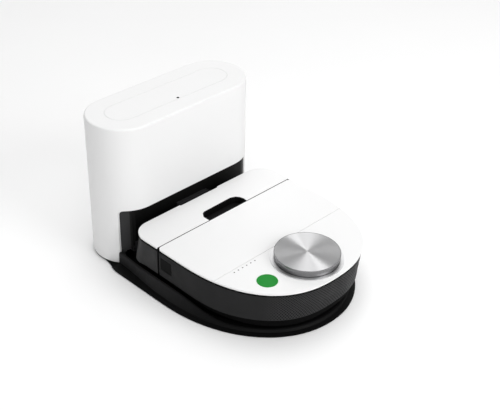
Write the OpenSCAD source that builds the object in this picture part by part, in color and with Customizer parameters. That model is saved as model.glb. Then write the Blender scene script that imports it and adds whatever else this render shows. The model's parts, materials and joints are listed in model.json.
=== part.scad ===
// Robot vacuum standing in its self-emptying dock.
// Origin: on the floor, at the centre of the footprint. +Z is up and +Y points from the robot to the tower.

/* [Robot] */
// Width of the robot
robot_w = 340; // [334:1:342]
// Y of the flat front edge of the robot
robot_front = 106; // [104:1:108]
// Y of the tip of the round end
robot_back = -245; // [-250:1:-240]
// Radius of the two front corners
corner_r = 38; // [36:1:40]
// Height of the white deck above the floor
deck_z = 101; // [101:1:103]
// Bottom edge of the charcoal side band
band_bottom = 45; // [44:1:48]

/* [Turret] */
// Radius of the metal cap
cap_r = 59; // [57:1:60]
// Y of the turret's axis
turret_y = -174; // [-175:1:-173]

/* [Dock] */
// Length of the tower's plan outline
tower_w = 356; // [352:1:360]
// Depth of the tower
tower_d = 136; // [134:1:140]
// Y of the tower's middle plane
tower_y = 188; // [187:1:190]
// Overall height of the tower
tower_h = 290; // [286:1:320]
// Width of the base tray
tray_w = 374; // [372:1:378]
// Y of the front tip of the base tray
tray_front = -243; // [-245:1:-241]
// Top of the rails beside the tower
rail_top = 29; // [26:1:32]

/* [Running parts] */
// Radius of the drive wheels
wheel_r = 35; // [33:0.5:35]
// Radius of the main brush over its fins
brush_r = 19.5; // [18:0.5:20]
// Radial clearance of each running fit
fit = 0.05; // [0.03:0.01:0.08]

/* [Hidden] */
$fn = 64;
black = "#17181a";
charcoal = "#2a2b2d";
white = "#f4f4f4";
steel = "#b4b6b8";
brass = "#c8a254";
mid_y = 6;               // where the middle of the footprint is drawn
floor_z = 10;            // top of the tray, where the wheels stand
under_z = 20;            // underside of the robot
rim_z = deck_z - 3;      // top of the chassis wall, where the covers rest
band_top = rim_z - 4;    // leaves a groove under the white covers
end_y = -30;             // where the straight sides of the robot end
end_n = 2.42;            // squareness of the robot's round end
tray_end_y = 0;        // where the straight sides of the tray end
tray_n = 2.1;            // squareness of the tray's round end
tub_inset = 14;          // from the robot's outline to the outside of the chassis wall
tub_wall = 3;
seam_y = 30;             // middle of the seam between the front cap and the main cover
rear_seam_y = -109;      // middle of the seam between the main and rear covers
arc_steps = 12;
end_steps = 48;
tower_r = tower_d / 2;
tower_half = tower_w / 2 - tower_r;
shell_t = 3;
shell_base = 4;          // bottom edge of the white shell
cut_y = 147;             // back edge of the cut-out in the tower
cut_z = 121;             // top edge of the cut-out
pocket_x = 150;          // half width of the recess behind the cut-out
pocket_y = 130;          // back wall of the recess
deck_frame_z = 126;      // floor of the upper chamber of the tower
brush_y = 62.5;
brush_z = 34;
brush_x0 = -128;
brush_x1 = 105;
wheel_y = -24;
wheel_z = floor_z + 0.3 + wheel_r;
wheel_x0 = 113;
wheel_x1 = 137;
pivot_y = -80;
caster_y = -190;
caster_trail = 6;
caster_r = 12;
motor_x = 45;            // axis of the turret's belt pulley
motor_y = -128;
rotor_groove_r = 46;
pulley_r = 5;
fan_x = 45;
fan_y = -22;
button_x = -97;
button_y = -171;
side_brush_x = 134;
side_brush_y = 72;
port_z0 = 58;            // dust port between the bin and the tower
port_z1 = 88;
port_x = 34;
lid_r = 31;              // radius of the lid's rounded ends
lid_lip = tower_r - 29;  // from the tower's outline to the outside of the lid's lip
lid_lip_z = tower_h - 9; // bottom of the lid's lip
lid_light_y = tower_y - lid_r + 4;
contact_x = 70;
contact_z = 34;
grille_x = 100;
grille_y = -190;
window_y0 = -8;
window_y1 = 25;
window_z0 = 57;
window_z1 = 86;
grip_pts = [[-43, 31], [-43, 46], [-36, 56], [-30, 59], [38, 60], [49, 56], [54, 49], [56, 40], [55, 31]];
bin_x = 112;
flap_z = port_z1 - 3.4;
light_x0 = -121;
light_dx = 10;
light_y = -115.5;
rail_y = cut_y - 0.4;
rail_d = 23.9;            // from the tray's outline to the inside of the rail
tongue = [[-60, -245], [-64, -222], [-80, -195], [-97, -163], [-104, -120], [-106, -66]];
dock_fan_x = 110;
rail_path = concat(
  [[-1, rail_y], [-1, 130], [-1, 110], [-1, 90], [-1, 60], [-1, 35]],
  [for (i = [0:end_steps]) let (t = 180 * i / end_steps) [-cos(t), sin(t)]],
  [[1, 35], [1, 60], [1, 90], [1, 110], [1, 130], [1, rail_y]]);

// Moves a piece so that the origin is at the centre of the footprint.
module centred() {
  translate([0, -mid_y, 0])
    children();
}

function rounded_end(a, y0, y1, n) =
  [for (i = [0:end_steps]) let (t = 180 * i / end_steps, c = -cos(t), s = sin(t))
    [a * sign(c) * pow(abs(c), 2 / n), y0 - (y0 - y1) * pow(abs(s), 2 / n)]];

// Plan outline of the robot, moved inwards by inset.
function robot_outline(inset) =
  let (a = robot_w / 2 - inset, r = corner_r - inset, yf = robot_front - inset)
  concat(
    rounded_end(a, end_y, robot_back + inset, end_n),
    [for (i = [0:arc_steps]) let (t = 90 * i / arc_steps) [a - r + r * cos(t), yf - r + r * sin(t)]],
    [for (i = [0:arc_steps]) let (t = 90 + 90 * i / arc_steps) [-a + r + r * cos(t), yf - r + r * sin(t)]]);

// Plan outline of the base tray, moved inwards by inset, with straight sides up to y_top.
function tray_outline(inset, y_top) =
  let (a = tray_w / 2 - inset)
  concat(rounded_end(a, tray_end_y, tray_front + inset, tray_n), [[a, y_top], [-a, y_top]]);

module box(x0, x1, y0, y1, z0, z1) {
  translate([x0, y0, z0])
    cube([x1 - x0, y1 - y0, z1 - z0]);
}

module prism(points, z0, z1) {
  translate([0, 0, z0])
    linear_extrude(z1 - z0)
      polygon(points);
}

module disc(x, y, r, z0, z1) {
  translate([x, y, z0])
    cylinder(r = r, h = z1 - z0);
}

module ring(x, y, r0, r1, z0, z1) {
  difference() {
    disc(x, y, r1, z0, z1);
    disc(x, y, r0, z0 - 1, z1 + 1);
  }
}

// Round bar along X.
module bar_x(x0, x1, y, z, r) {
  translate([x0, y, z])
    rotate([0, 90, 0])
      cylinder(r = r, h = x1 - x0);
}

// Round bar along Y.
module bar_y(x, y0, y1, z, r) {
  translate([x, y1, z])
    rotate([90, 0, 0])
      cylinder(r = r, h = y1 - y0);
}

module mirror_x() {
  children();
  mirror([1, 0, 0])
    children();
}

// Solid with the tower's plan outline, moved inwards by inset.
module tower_block(inset, z0, z1) {
  translate([0, tower_y, z0])
    linear_extrude(z1 - z0)
      union() {
        square([2 * tower_half, tower_d - 2 * inset], center = true);
        translate([tower_half, 0])
          circle(r = tower_r - inset, $fn = 96);
        translate([-tower_half, 0])
          circle(r = tower_r - inset, $fn = 96);
      }
}

// Profile of [radius, height] points carried round the tower's plan outline.
module tower_sweep(profile) {
  translate([0, tower_y, 0]) {
    for (s = [-1, 1]) {
      translate([s * tower_half, 0, 0])
        rotate([0, 0, -90 * s])
          rotate_extrude(angle = 180, $fn = 96)
            polygon(profile);
      rotate([90, 0, 90])
        linear_extrude(2 * tower_half, center = true)
          polygon([for (p = profile) [s * p[0], p[1]]]);
    }
  }
}

// Everything in front of the cut-out's back edge and below its top edge.
module tower_cut(back, top, r) {
  rotate([90, 0, 90])
    linear_extrude(2 * tower_w, center = true)
      union() {
        translate([0, -1])
          square([back, top - r + 1]);
        square([back - r, top]);
        translate([back - r, top - r])
          circle(r = r);
      }
}

// ---------------- Robot ----------------

module wheel_well(s) {
  x0 = 92;
  difference() {
    box(s > 0 ? x0 : -143, s > 0 ? 143 : -x0, pivot_y - 14, 16, under_z, 93);
    box(s > 0 ? x0 + 2 : -141, s > 0 ? 141 : -x0 - 2, pivot_y - 12, 14, under_z - 1, 91);
    bar_x(s > 0 ? x0 - 1 : -x0 - 3, s > 0 ? x0 + 3 : -x0 + 1, pivot_y, wheel_z, 4 + fit);
  }
}

module robot_chassis() {
  color(black)
  difference() {
    union() {
      difference() {
        prism(robot_outline(tub_inset), under_z, rim_z);
        prism(robot_outline(tub_inset + tub_wall), under_z + 3, rim_z + 1);
        for (s = [-1, 1])
          box(s > 0 ? 93 : -142, s > 0 ? 142 : -93, pivot_y - 13, 15, under_z - 1, 40);
      }
      wheel_well(1);
      wheel_well(-1);
      intersection() {
        prism(robot_outline(tub_inset + 1), 59.4, rim_z);
        box(-robot_w / 2, robot_w / 2, 28, 30.4, 59.4, rim_z);
      }
      box(-port_x - 2, port_x + 2, robot_front - 15, robot_front - 3.5, port_z0 - 2, port_z1 + 2);
      for (p = [[-60, -55], [-60, 8], [86, -56], [86, 10]])
        disc(p[0], p[1], 3, under_z + 1, 84);
      for (a = [30, 150, 270])
        disc(48 * cos(a), turret_y + 48 * sin(a), 3.5, under_z + 1, 84);
      disc(button_x, button_y, 6, under_z + 1, 86.3);
      disc(0, caster_y, 27, under_z, 48);
      disc(0, caster_y, 8, 48, 60);
    }
    box(-port_x, port_x, robot_front - 22, robot_front, port_z0, port_z1);
    box(-130, 107, brush_y - 22.5, brush_y + 22.5, under_z - 1, under_z + 3.5);
    disc(0, caster_y, 24, under_z - 1, 44);
    disc(0, caster_y, 4 + fit, 43, 61);
    disc(side_brush_x, side_brush_y, 4.5, under_z - 1, under_z + 4);
    for (x = [-48:12:48])
      box(x - 3, x + 3, robot_back, robot_back + 22, 52, 90);
  }
}

module band_segment(z0, z1, inset0, inset1) {
  difference() {
    prism(robot_outline(inset0), z0, z1);
    prism(robot_outline(inset1), z0 - 1, z1 + 1);
    box(-robot_w, robot_w, seam_y - 2.25, robot_front + 1, z0 - 2, z1 + 2);
  }
}

module side_band() {
  color(charcoal)
  difference() {
    union() {
      band_segment(band_bottom, band_top, 0, 3);
      band_segment(band_bottom, band_bottom + 3, 2, tub_inset);
    }
    box(-grille_x, grille_x, robot_back - 1, grille_y, band_bottom + 4, band_top - 3);
    mirror_x()
      box(robot_w / 2 - 4, robot_w / 2 + 1, window_y0, window_y1, window_z0, window_z1);
  }
}

module exhaust_grille() {
  color(charcoal)
  difference() {
    intersection() {
      band_segment(band_bottom + 4.1, band_top - 3.1, 0.3, 2.3);
      box(-grille_x + 0.1, grille_x - 0.1, robot_back - 1, grille_y - 0.1, 0, deck_z);
    }
    for (x = [-90:6:90])
      box(x - 1.5, x + 1.5, robot_back - 1, grille_y, band_bottom + 8, band_top - 7);
  }
}

module side_sensor_windows() {
  color(black)
  mirror_x()
    box(robot_w / 2 - 3, robot_w / 2 - 0.4, window_y0 + 0.1, window_y1 - 0.1, window_z0 + 0.1, window_z1 - 0.1);
}

module front_bumper() {
  color(charcoal)
  difference() {
    prism(robot_outline(0), band_bottom, band_top);
    prism(robot_outline(3), band_bottom - 1, band_top + 1);
    box(-robot_w, robot_w, robot_back - 1, seam_y + 2.25, band_bottom - 2, rim_z + 1);
    box(-port_x - 5, port_x + 5, robot_front - 5, robot_front + 1, port_z0 - 5, port_z1 + 3);
  }
}

module front_cap() {
  color(white)
  difference() {
    union() {
      intersection() {
        prism(robot_outline(0), rim_z + 0.3, deck_z);
        box(-robot_w, robot_w, seam_y + 1, robot_front, 0, deck_z + 1);
      }
      difference() {
        box(-118, 118, 33, 88.5, rim_z - 2.5, rim_z + 0.3);
        box(-112, 112, 34.5, 87, rim_z - 3, rim_z + 0.2);
      }
    }
    prism(grip_pts, rim_z - 4, deck_z + 1);
    box(-48, 48, robot_front - 2.5, robot_front + 1, rim_z, deck_z + 1);
    box(-112.2, 112.2, 32, 88.2, rim_z - 3, rim_z + 0.3);
  }
}

module bin_grip() {
  color(black)
  difference() {
    prism(grip_pts, 86, deck_z - 0.4);
    prism([for (p = grip_pts) [(p[0] - 3.5) * 0.965 + 3.5, (p[1] - 44) * 0.88 + 44]], 88, deck_z);
  }
}

module dust_bin() {
  color("#4a4c50")
  difference() {
    union() {
      difference() {
        box(-bin_x, bin_x, 33, 88, 59.5, rim_z + 0.3);
        box(-bin_x + 2, bin_x - 2, 35, 86, 61.5, rim_z + 1);
      }
      box(-port_x - 4, port_x + 4, 83.5, 88, 60, rim_z + 0.3);
    }
    box(-port_x + 4, port_x - 4, 80, 90, 62, flap_z + 2.6);
    bar_x(-port_x + 0.5, port_x - 0.5, 86.4, flap_z, 1.2 + fit);
    prism([for (p = grip_pts) [(p[0] - 3.5) * 1.01 + 3.5, p[1]]], 85.9, deck_z);
    box(-26, 26, 42, 72, 58, 62);
  }
}

module bin_filter() {
  color("#d8d4c4")
  union() {
    difference() {
      box(94, 98, 36, 82, 62, 94);
      box(93, 99, 40, 78, 66, 90);
    }
    prism(concat([for (i = [0:18]) [i % 2 == 0 ? 94.4 : 107.6, 40 + 2.11 * i]], [[109, 78], [109, 40]]), 66, 90);
    box(107, 109.6, 36, 82, 62, 94);
  }
}

module bin_flap() {
  color("#5a5d61")
  union() {
    box(-port_x + 4.4, port_x - 4.4, 85.6, 87.2, 62.4, flap_z);
    bar_x(-port_x + 0.8, port_x - 0.8, 86.4, flap_z, 1.2);
  }
}

module main_cover() {
  r = 8;
  y1 = seam_y - 1;
  half = robot_w / 2;
  color(white)
  difference() {
    prism(robot_outline(0), rim_z, deck_z);
    box(-robot_w, robot_w, y1, robot_front + 1, rim_z - 1, deck_z + 1);
    box(-robot_w, robot_w, robot_back - 1, rear_seam_y + 0.3, rim_z - 1, deck_z + 1);
    for (s = [-1, 1])
      difference() {
        box(s > 0 ? half - r : -half - 1, s > 0 ? half + 1 : -half + r, y1 - r, y1 + 1, rim_z - 1, deck_z + 1);
        disc(s * (half - r), y1 - r, r, rim_z - 2, deck_z + 2);
      }
  }
}

module rear_cover() {
  color(white)
  difference() {
    prism(robot_outline(0), rim_z, deck_z);
    box(-robot_w, robot_w, rear_seam_y - 0.3, robot_front + 1, rim_z - 1, deck_z + 1);
    disc(0, turret_y, cap_r - 6.5, rim_z - 1, deck_z + 1);
    disc(button_x, button_y, 20, rim_z - 1, deck_z + 1);
    for (i = [0:5])
      disc(light_x0 + light_dx * i, light_y, 1.2, deck_z - 1, deck_z + 1);
  }
}

module start_button() {
  color("#2ea043")
  union() {
    disc(button_x, button_y, 18.3, rim_z - 1.4, deck_z + 0.3);
    disc(button_x, button_y, 4, 88, rim_z - 1);
  }
}

module button_bezel() {
  color("#dfe6df")
    ring(button_x, button_y, 18.6, 20, rim_z, deck_z + 0.15);
}

module status_lights() {
  color("#3a3c40")
  for (i = [0:5])
    disc(light_x0 + light_dx * i, light_y, 1.2, deck_z - 1, deck_z + 0.1);
}

module lidar_flange() {
  color("#e2e3e4")
    ring(0, turret_y, cap_r, cap_r + 6, deck_z, deck_z + 2);
}

module lidar_window() {
  color("#4c4e52")
    ring(0, turret_y, cap_r - 3.5, cap_r - 1, deck_z, deck_z + 10);
}

module lidar_cap() {
  z = deck_z + 10;
  color(steel)
  translate([0, turret_y, 0])
    rotate_extrude($fn = 96)
      polygon([[0, z], [cap_r - 0.8, z], [cap_r, z + 0.8], [cap_r, z + 3.6], [cap_r - 1.4, z + 5],
        [cap_r - 12, z + 5.6], [0, z + 5.6]]);
}

module lidar_base() {
  color(black)
  difference() {
    union() {
      disc(0, turret_y, 54, 84, 87);
      disc(0, turret_y, 6, 86, 101);
      disc(motor_x, motor_y, 13, 84, 87);
    }
    disc(motor_x, motor_y, 2.5, 83, 88);
  }
}

module lidar_rotor() {
  color("#3a3b3e")
  difference() {
    union() {
      disc(0, turret_y, 50, 88.5, 90.3);
      disc(0, turret_y, rotor_groove_r, 90, 95);
      disc(0, turret_y, 50, 94.7, 96);
      disc(0, turret_y, 34, 95.5, 100);
      box(-22, 22, turret_y - 44, turret_y - 26, 95.5, 107);
      disc(0, turret_y, 12, 99, 104);
    }
    disc(0, turret_y, 6 + fit, 88, 105);
    bar_y(-12, turret_y - 45, turret_y - 36, 101.5, 4);
    bar_y(12, turret_y - 45, turret_y - 36, 101.5, 3);
  }
}

module lidar_pulley() {
  color(steel)
  union() {
    disc(motor_x, motor_y, 7, 89.6, 90.3);
    disc(motor_x, motor_y, pulley_r, 90, 95);
    disc(motor_x, motor_y, 7, 94.7, 95.4);
    disc(motor_x, motor_y, 1.5, 78, 90);
  }
}

module lidar_motor() {
  color(steel)
  difference() {
    union() {
      disc(motor_x, motor_y, 10, 62, 84);
      disc(motor_x, motor_y, 2.5, 58, 62);
    }
    disc(motor_x, motor_y, 1.5 + fit, 77, 85);
  }
}

// Flat belt loop with its inside at distance gap from the two pulleys.
module belt_loop(gap) {
  hull() {
    translate([0, turret_y])
      circle(r = rotor_groove_r + gap, $fn = 96);
    translate([motor_x, motor_y])
      circle(r = pulley_r + gap, $fn = 32);
  }
}

module lidar_belt() {
  color(black)
  translate([0, 0, 91.2])
    linear_extrude(2.8)
      difference() {
        belt_loop(1.5);
        belt_loop(0.4);
      }
}

module wheel(s) {
  x0 = s > 0 ? wheel_x0 : -wheel_x1;
  x1 = s > 0 ? wheel_x1 : -wheel_x0;
  color("#3c3d40")
  difference() {
    union() {
      bar_x(x0, x1, wheel_y, wheel_z, wheel_r - 5);
    }
    bar_x(s > 0 ? x1 - 8 : x0 - 1, s > 0 ? x1 + 1 : x0 + 8, wheel_y, wheel_z, wheel_r - 8);
    for (a = [0:60:300])
      bar_x(x0 - 1, x1 + 1, wheel_y + 17 * cos(a), wheel_z + 17 * sin(a), 5);
    bar_x(x0 - 1, x1 + 1, wheel_y, wheel_z, 4 + fit);
  }
}

module left_wheel() {
  wheel(-1);
}

module right_wheel() {
  wheel(1);
}

module tyre(s) {
  x0 = s > 0 ? wheel_x0 : -wheel_x1;
  x1 = s > 0 ? wheel_x1 : -wheel_x0;
  color("#101112")
  difference() {
    bar_x(x0, x1, wheel_y, wheel_z, wheel_r);
    bar_x(x0 - 1, x1 + 1, wheel_y, wheel_z, wheel_r - 5);
    for (a = [0:15:345])
      translate([0, wheel_y, wheel_z])
        rotate([a, 0, 0])
          box(x0 + 4, x1 - 4, -1.5, 1.5, wheel_r - 2, wheel_r + 1);
  }
}

module left_tyre() {
  tyre(-1);
}

module right_tyre() {
  tyre(1);
}

module wheel_arm(s) {
  x0 = s > 0 ? 98 : -111;
  x1 = s > 0 ? 111 : -98;
  color("#34363a")
  union() {
    box(x0, x1, pivot_y - 7, wheel_y, wheel_z - 9, wheel_z + 9);
    bar_x(x0, x1, wheel_y, wheel_z, 14);
    bar_x(s > 0 ? 93 : -99, s > 0 ? 99 : -93, pivot_y, wheel_z, 4);
    bar_x(s > 0 ? 110 : -139, s > 0 ? 139 : -110, wheel_y, wheel_z, 4);
  }
}

module left_wheel_arm() {
  wheel_arm(-1);
}

module right_wheel_arm() {
  wheel_arm(1);
}

module roller_brush() {
  color("#2f6b45")
  union() {
    bar_x(brush_x0 + 2, brush_x1 - 2, brush_y, brush_z, 9);
    bar_x(brush_x0 - 3.5, brush_x1 + 3.5, brush_y, brush_z, 4);
    for (a = [0:45:315])
      translate([0, brush_y, brush_z])
        rotate([a, 0, 0])
          box(brush_x0 + 4, brush_x1 - 4, -1, 1, 8, brush_r);
  }
}

module brush_housing() {
  color("#26282b")
  difference() {
    box(brush_x0 - 4, brush_x1 + 4, 38, 88.4, under_z + 3, 59);
    bar_x(brush_x0, brush_x1, brush_y, brush_z, 22.5);
    box(brush_x0, brush_x1, brush_y - 22.5, brush_y + 22.5, under_z, brush_z);
    bar_x(brush_x0 - 5, brush_x1 + 5, brush_y, brush_z, 4 + fit);
    box(-25, 25, 48, 70, 50, 60);
  }
}

module brush_guard() {
  color(charcoal)
  difference() {
    box(-134, 111, 37, 88, under_z - 2.5, under_z);
    box(-127, 104, brush_y - 17.5, brush_y + 17.5, under_z - 3, under_z + 1);
  }
}

module brush_motor() {
  color("#54575c")
  union() {
    bar_x(-134, -78, 27, 46, 10.3);
    box(-146, -133, 18, 74, 26, 56);
  }
}

module side_brush() {
  color("#2c2d30")
  union() {
    disc(side_brush_x, side_brush_y, 9, under_z - 6.5, under_z - 0.5);
    disc(side_brush_x, side_brush_y, 3, under_z - 1, 38);
    for (a = [30:120:270])
      translate([side_brush_x, side_brush_y, under_z - 6])
        rotate([0, 0, a])
          box(6, 24, -2, 2, 0, 2);
  }
}

module side_brush_motor() {
  color("#54575c")
  difference() {
    disc(side_brush_x, side_brush_y, 11, under_z + 4, 52);
    disc(side_brush_x, side_brush_y, 3 + fit, under_z + 3, 39);
  }
}

module caster_fork() {
  y = caster_y - caster_trail;
  z = floor_z + 0.3 + caster_r;
  color("#34363a")
  difference() {
    union() {
      disc(0, caster_y, 17, 36, 40);
      disc(0, caster_y, 4, 39, 58);
      mirror_x()
        box(8, 11, y - 5, caster_y + 4, z - 5, 37);
    }
    bar_x(-12, 12, y, z, 2 + fit);
  }
}

module caster_wheel() {
  y = caster_y - caster_trail;
  z = floor_z + 0.3 + caster_r;
  color("#101112")
  union() {
    bar_x(-7, 7, y, z, caster_r);
    bar_x(-10.8, 10.8, y, z, 2);
  }
}

module fan_housing() {
  color("#3b3e43")
  difference() {
    union() {
      disc(fan_x, fan_y, 37, 50, 74);
      disc(fan_x, fan_y, 24, under_z + 3, 51);
      box(fan_x - 37, fan_x - 10, fan_y - 37, fan_y - 5, 53, 72);
    }
    disc(fan_x, fan_y, 34, 53, 72);
    disc(fan_x, fan_y, 14, 71, 75);
    disc(fan_x, fan_y, 3 + fit, 36, 54);
    box(fan_x - 34, fan_x - 13, fan_y - 38, fan_y - 5, 55, 70);
  }
}

module fan_impeller() {
  color("#9a9da1")
  union() {
    disc(fan_x, fan_y, 31, 54.5, 56.5);
    disc(fan_x, fan_y, 8, 56, 69);
    disc(fan_x, fan_y, 3, 37, 55);
    for (a = [0:30:330])
      translate([fan_x, fan_y, 56])
        rotate([0, 0, a])
          translate([6, 0, 0])
            rotate([0, 0, 18])
              cube([23, 1.4, 11.5]);
  }
}

module battery() {
  color("#2b3d57")
  difference() {
    box(-75, 75, -125, -72, under_z + 3, 46);
    for (x = [-75, 0])
      box(x + 5, x + 70, -120, -77, 45, 47);
  }
}

module main_board() {
  color("#1f6b3a")
  union() {
    box(-88, 89, -60, 15, 84, 85.6);
    box(-40, -14, -40, -14, 85, 88);
    box(20, 34, -30, -12, 85, 87.6);
    box(-78, -62, -50, 4, 85, 91);
    box(56, 80, -50, -38, 85, 90);
  }
}

module charge_pads() {
  color(brass)
  mirror_x()
    box(contact_x - 8, contact_x + 8, robot_front - tub_inset, robot_front - tub_inset + 0.9, 27, 41);
}

module robot_screws() {
  color(steel)
  for (p = [[-80, -140], [80, -140], [0, -60], [-60, 22], [70, 24], [0, -140]])
    translate([p[0], p[1], under_z - 1.2])
      difference() {
        cylinder(r = 3.2, h = 1.2);
        translate([-2.4, -0.5, -0.1])
          cube([4.8, 1, 0.8]);
      }
}

// ---------------- Dock ----------------

// Height of the rail's ridge above the floor, by place along the tray.
function ramp(t) = let (u = min(max(t, 0), 1)) u * u * (3 - 2 * u);
function ridge_z(y) = floor_z + (rail_top - floor_z) * (1 - ramp((-8 - y) / 125));
function ridge_in(y) = 19.5 - 6 * ramp((-40 - y) / 120) + 3.5 * ramp((y - 90) / 56);
function crease_in(y) = 8 + 10 * ramp((y - 20) / 126);

// One point of the rail: station k of the path, distance d inwards, height z.
function rail_point(k, d, z) =
  let (p = rail_path[k], a = tray_w / 2 - d, straight = abs(p[1]) > 1)
  straight
    ? [a * p[0], p[1], z]
    : [a * sign(p[0]) * pow(abs(p[0]), 2 / tray_n),
       tray_end_y - (tray_end_y - tray_front - d) * pow(abs(p[1]), 2 / tray_n), z];

function rail_section(k) =
  let (y = rail_point(k, 0, 0)[1], h = ridge_z(y), d = ridge_in(y), c = crease_in(y), z0 = shell_base)
  [rail_point(k, 0.6, z0), rail_point(k, c, z0 + 1), rail_point(k, c + 1.5, z0 + 2.2),
   rail_point(k, d - 2.5, h - 1.2), rail_point(k, d, h), rail_point(k, d + 2.5, h - 0.6),
   rail_point(k, rail_d, floor_z - 0.6), rail_point(k, rail_d, z0)];

module tray_rails() {
  n = len(rail_path);
  m = 8;
  points = [for (k = [0:n - 1]) each rail_section(k)];
  sides = [for (k = [0:n - 2]) for (j = [0:m - 1])
    let (a = k * m + j, b = k * m + (j + 1) % m) each [[a, b, b + m], [a, b + m, a + m]]];
  color(black)
    polyhedron(points, concat(sides, [[for (j = [m - 1:-1:0]) j]], [[for (j = [0:m - 1]) (n - 1) * m + j]]));
}

module tray_well() {
  difference() {
    intersection() {
      prism(tray_outline(28, 0), 6.5, floor_z + 1);
      box(-tray_w, tray_w, tray_front, -66, 6, floor_z + 2);
    }
    prism(concat(tongue, [for (i = [5:-1:0]) [-tongue[i][0], tongue[i][1]]]), 6, floor_z + 2);
  }
}

// Outline of the plate under the tray, whose sides curve in to meet the tower.
function plate_outline() =
  let (a = tray_w / 2, b = tower_w / 2 - 0.8, y0 = 128, dy = 46,
       side = concat([for (t = [0:0.125:1]) [a - (a - b) * ramp(t), y0 + dy * t]], [[b - 3, y0 + dy + 14]]))
  concat(rounded_end(a, tray_end_y, tray_front, tray_n), side,
    [for (i = [len(side) - 1:-1:0]) [-side[i][0], side[i][1]]]);

module base_tray() {
  color(black)
  difference() {
    union() {
      tower_block(0.5, 1.5, shell_base);
      tower_block(shell_t + 0.3, shell_base - 1, floor_z);
      prism(plate_outline(), 1.5, shell_base);
      difference() {
        prism(tray_outline(rail_d + 0.3, rail_y), 3, floor_z);
        tray_well();
      }
    }
    for (x = [-3:2])
      for (y = [0:3])
        box(x * 44 + 4, x * 44 + 40, -60 + y * 44, -20 + y * 44, 0, floor_z - 3);
    for (x = [-1, 0])
      box(x * 88 + 6, x * 88 + 82, -226 + 66, -66, 0, 3.5);
  }
}

module base_feet() {
  color("#0c0d0e")
  for (p = [[-150, 200], [150, 200], [-152, 10], [152, 10], [-60, -212], [60, -212], [-110, 130], [110, 130]])
    disc(p[0], p[1], 8, 0, 1.5);
}

function fillet(r, h, c, steps) =
  [for (i = [0:steps]) let (t = 90 * i / steps) [r - c + c * cos(t), h - c + c * sin(t)]];

module tower_shell() {
  r = tower_r;
  c = 3.5;
  color(white)
  difference() {
    tower_sweep(concat(
      [[r - shell_t, shell_base], [r, shell_base]],
      fillet(r, tower_h, c, 8),
      [[lid_r + 0.4, tower_h], [lid_r + 0.4, tower_h - 3.6], [r - shell_t - 3, tower_h - 3.6],
       [r - shell_t, tower_h - 7]]));
    tower_cut(cut_y, cut_z, 10);
    box(84, 116, tower_y + 40, tower_y + r + 1, 20, 48);
    box(28, 106, tower_y + 40, tower_y + r + 1, 150, 230);
  }
}

module tower_liner() {
  color(charcoal)
  difference() {
    union() {
      difference() {
        tower_block(shell_t + 0.3, floor_z, deck_frame_z - 0.2);
        tower_block(shell_t + 2.5, floor_z - 1, deck_frame_z);
        box(-pocket_x, pocket_x, 100, pocket_y + 2, 0, cut_z - 4);
        box(84, 116, tower_y + 40, tower_y + tower_r + 1, 20, 48);
        tower_cut(cut_y - 4, rail_top - 1, 1);
      }
      difference() {
        intersection() {
          box(-pocket_x - 2.5, pocket_x + 2.5, 100, pocket_y + 2.5, floor_z, cut_z - 1.5);
          tower_block(shell_t + 1, floor_z, cut_z);
        }
        box(-pocket_x, pocket_x, 99, pocket_y, floor_z - 1, cut_z - 4);
      }
      mirror_x()
        box(contact_x - 8, contact_x + 8, 112, pocket_y + 1, contact_z - 7, contact_z + 7);
    }
    box(-port_x - 3, port_x + 3, pocket_y - 1, pocket_y + 3, port_z0 - 3, port_z1 + 3);
    mirror_x()
      box(contact_x - 4.3, contact_x + 4.3, 111, pocket_y, contact_z - 3.3, contact_z + 3.3);
    mirror_x()
      translate([pocket_x + 3, pocket_y - 30, rail_top + 20])
        rotate([-90, 0, 0])
          intersection() {
            difference() {
              translate([-22, 0, 0])
                cube([22, 22, 80]);
              translate([4, 0, -1])
                cylinder(r = 18, h = 82);
            }
          }
  }
}

module tower_lid() {
  h = tower_h;
  color(white)
  difference() {
    union() {
      tower_block(tower_r - lid_r, h - 3, h);
      difference() {
        tower_block(lid_lip, lid_lip_z, h - 2);
        tower_block(lid_lip + 2, lid_lip_z - 1, h - 1);
      }
      for (x = [-75, -25, 25, 75])
        box(x - 1, x + 1, tower_y - tower_r + lid_lip + 1, tower_y + tower_r - lid_lip - 1, lid_lip_z + 3, h - 2);
    }
    disc(1, lid_light_y, 2.7, h - 1.5, h + 1);
  }
}

module lid_light() {
  color("#2f3236")
    disc(1, lid_light_y, 2.7, tower_h - 1.5, tower_h + 0.1);
}

// Walls on both sides of the bag's chamber; the lid's lip rests on them.
module frame_walls(z0, z1) {
  for (x = [-122.5, 56])
    box(x, x + 2.5, tower_y - tower_r, tower_y + tower_r, z0, z1);
}

module dock_frame() {
  color("#c9cacc")
  difference() {
    union() {
      tower_block(shell_t + 0.4, deck_frame_z, deck_frame_z + 3);
      intersection() {
        frame_walls(deck_frame_z, tower_h - 14);
        tower_block(shell_t + 0.4, deck_frame_z, tower_h - 14);
      }
      intersection() {
        frame_walls(tower_h - 15, lid_lip_z - 0.1);
        tower_block(lid_lip - 2, tower_h - 15, lid_lip_z);
      }
    }
    disc(0, 148, 14, deck_frame_z - 1, deck_frame_z + 4);
    box(28, 106, tower_y + 55, tower_y + tower_r + 1, 150, 230);
  }
}

module dust_bag() {
  r = 14;
  color("#e4ddc9")
  union() {
    hull()
      for (x = [-116 + r, 52 - r])
        for (y = [133 + r, 236 - r])
          for (z = [132 + r, 262 - r])
            translate([x, y, z])
              sphere(r = r, $fn = 24);
    difference() {
      disc(0, 148, 22, deck_frame_z + 3, 136);
      disc(0, 148, 14, deck_frame_z + 2, 134);
    }
  }
}

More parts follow.
